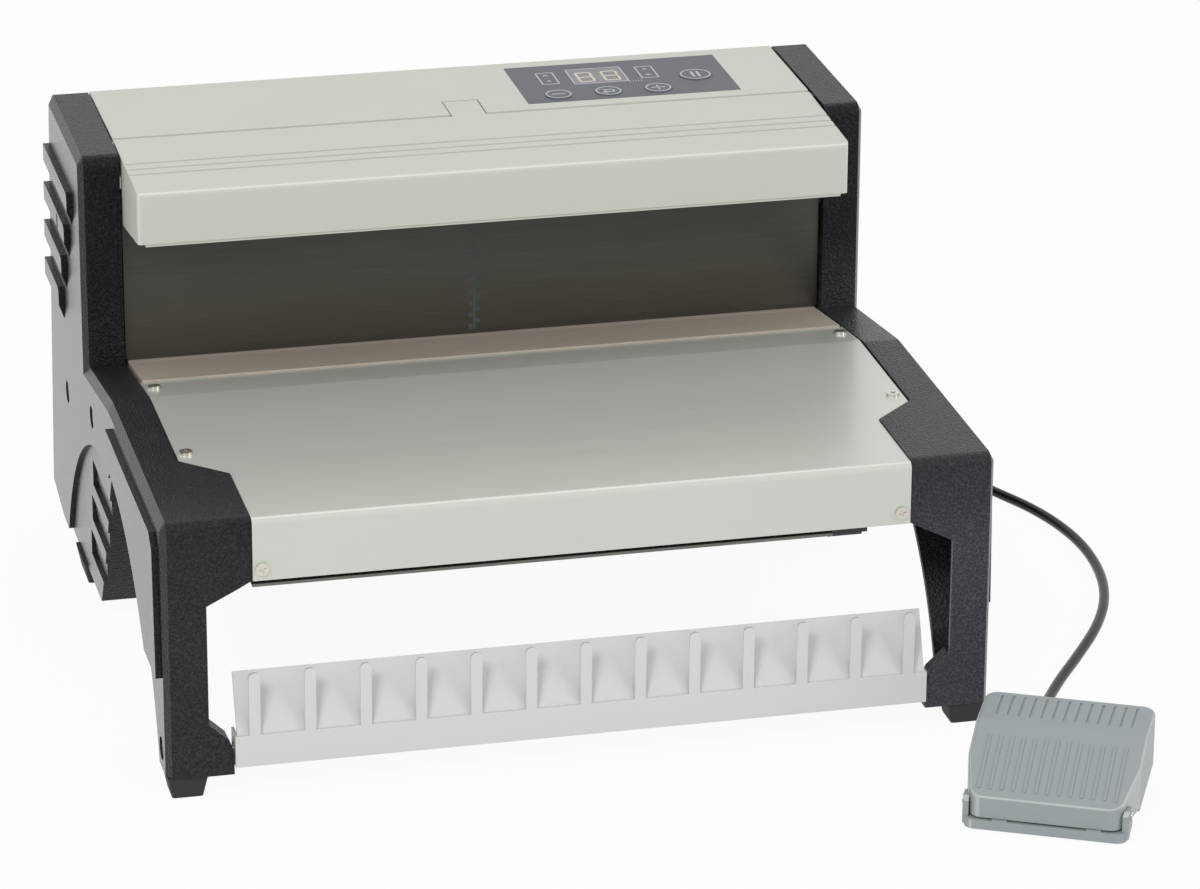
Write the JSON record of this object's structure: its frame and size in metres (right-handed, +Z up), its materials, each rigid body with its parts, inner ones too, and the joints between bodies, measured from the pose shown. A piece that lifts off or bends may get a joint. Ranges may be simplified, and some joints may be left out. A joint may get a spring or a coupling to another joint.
{
  "type": "spiral binding machine",
  "caption": "Electric closing machine for wire-bound books: dark side casings, grey hinged hood over a sliding press plate, sloped table, front wire rack and a corded foot pedal",
  "frame": {"origin": "middle of the machine and its pedal, seen from above, on the floor they stand on", "axes": "+Y runs from the user's side to the back, +X to the user's right, +Z up"},
  "size_m": [0.4932, 0.6371, 0.2271],
  "materials": {
    "textured_black": "coarse orange-peel texture, satin",
    "grey_cover": "fine-textured moulded plastic",
    "grey_sheet": "smooth satin paint",
    "zinc_steel": "bright zinc plate",
    "machined_steel": "ground, lightly oiled",
    "brushed_plate": "dark ground sheet, fine grain along its length",
    "screw_nickel": "nickel plate",
    "panel_film": "semi-gloss printed film",
    "display_pane": "tinted clear pane",
    "display_cell": "moulded display cell",
    "circuit_board": "lacquered board",
    "black_plastic": "moulded, satin",
    "motor_can": "smooth enamel",
    "bronze": "sintered bushing",
    "rubber_black": "matte",
    "cord_jacket": "smooth jacket",
    "pedal_grey": "fine-textured moulded plastic"
  },
  "bodies": {
    "machine_frame": {"anvil_strip": "machined_steel", "back_cover": "grey_sheet", "back_screws": "screw_nickel", "base_pan": "zinc_steel", "casing_left": "textured_black", "casing_right": "textured_black", "casing_screws": "screw_nickel", "coil_tie": "rubber_black", "control_board": "circuit_board", "control_overlay": "panel_film", "cord_coil": "cord_jacket", "cord_gland": "rubber_black", "cord_machine_side": "cord_jacket", "cord_pedal_side": "cord_jacket", "cross_beam": "machined_steel", "deck_rails": "zinc_steel", "display_digits": "display_cell", "display_window": "display_pane", "feet": "rubber_black", "frame_left": "zinc_steel", "frame_right": "zinc_steel", "guide_blocks": "machined_steel", "guide_rods": "machined_steel", "hinge_pins": "machined_steel", "limit_switches": "black_plastic", "mains_inlet": "black_plastic", "motor": "motor_can", "motor_bracket": "zinc_steel", "pan_block": "black_plastic", "pedal_base": "pedal_grey", "pedal_feet": "rubber_black", "pedal_gland": "rubber_black", "pedal_pin": "machined_steel", "pedal_spring": "machined_steel", "pedal_switch": "black_plastic", "power_supply": "black_plastic", "rack_screws": "screw_nickel", "rear_top_cover": "grey_cover", "shaft_bearings": "bronze", "switch_frame": "black_plastic", "table_cover": "grey_sheet", "table_screws": "screw_nickel", "tie_bars": "zinc_steel", "wire_rack": "grey_sheet"},
    "front_hood": {"front_hood": "grey_cover"},
    "press": {"press_plate": "brushed_plate", "press_bar": "machined_steel", "rack_gears": "machined_steel"},
    "lift_shaft": {"cross_shaft": "machined_steel", "pinions": "machined_steel", "driven_gear": "machined_steel"},
    "motor_rotor": {"motor_pinion": "machined_steel"},
    "power_rocker": {"power_rocker": "black_plastic"},
    "pedal_treadle": {"pedal_treadle": "pedal_grey"},
    "key_minus": {"key_minus": "panel_film"},
    "key_return": {"key_return": "panel_film"},
    "key_plus": {"key_plus": "panel_film"},
    "key_pause": {"key_pause": "panel_film"}
  },
  "joints": [
    {"name": "hood_hinge", "type": "hinge", "parent": "machine_frame", "child": "front_hood", "pos_m": [-0.02486, 0.14276, 0.2243], "axis": [-1, 0, 0], "range_deg": [0, 75]},
    {"name": "press_slide", "type": "slide", "parent": "machine_frame", "child": "press", "axis": [0, 0, 1], "range_m": [0, 0.028]},
    {"name": "lift_shaft_turn", "type": "hinge", "parent": "machine_frame", "child": "lift_shaft", "pos_m": [-0.02486, 0.16046, 0.164], "axis": [1, 0, 0], "range_deg": [-134, 0]},
    {"name": "motor_turn", "type": "hinge", "parent": "machine_frame", "child": "motor_rotor", "pos_m": [-0.02486, 0.19046, 0.164], "axis": [1, 0, 0], "range_deg": [0, 368]},
    {"name": "power_rocker_tip", "type": "hinge", "parent": "machine_frame", "child": "power_rocker", "pos_m": [-0.09686, 0.21546, 0.123], "axis": [1, 0, 0], "range_deg": [0, 16]},
    {"name": "pedal_press", "type": "hinge", "parent": "machine_frame", "child": "pedal_treadle", "pos_m": [0.15743, -0.22449, 0.0116], "axis": [-0.891, 0.454, 0], "range_deg": [0, 4], "stiffness_Nm_per_rad": 2, "springref_deg": -1.72, "deforming": ["pedal_spring"]},
    {"name": "key_minus_push", "type": "slide", "parent": "machine_frame", "child": "key_minus", "axis": [0, 0, -1], "range_m": [0, 0.0005], "stiffness_N_per_m": 400},
    {"name": "key_return_push", "type": "slide", "parent": "machine_frame", "child": "key_return", "axis": [0, 0, -1], "range_m": [0, 0.0005], "stiffness_N_per_m": 400},
    {"name": "key_plus_push", "type": "slide", "parent": "machine_frame", "child": "key_plus", "axis": [0, 0, -1], "range_m": [0, 0.0005], "stiffness_N_per_m": 400},
    {"name": "key_pause_push", "type": "slide", "parent": "machine_frame", "child": "key_pause", "axis": [0, 0, -1], "range_m": [0, 0.0005], "stiffness_N_per_m": 400}
  ],
  "couplings": [
    {"joint": "lift_shaft_turn", "follows": "press_slide", "rad_per_m": -83.333},
    {"joint": "motor_turn", "follows": "press_slide", "rad_per_m": 229.17}
  ]
}
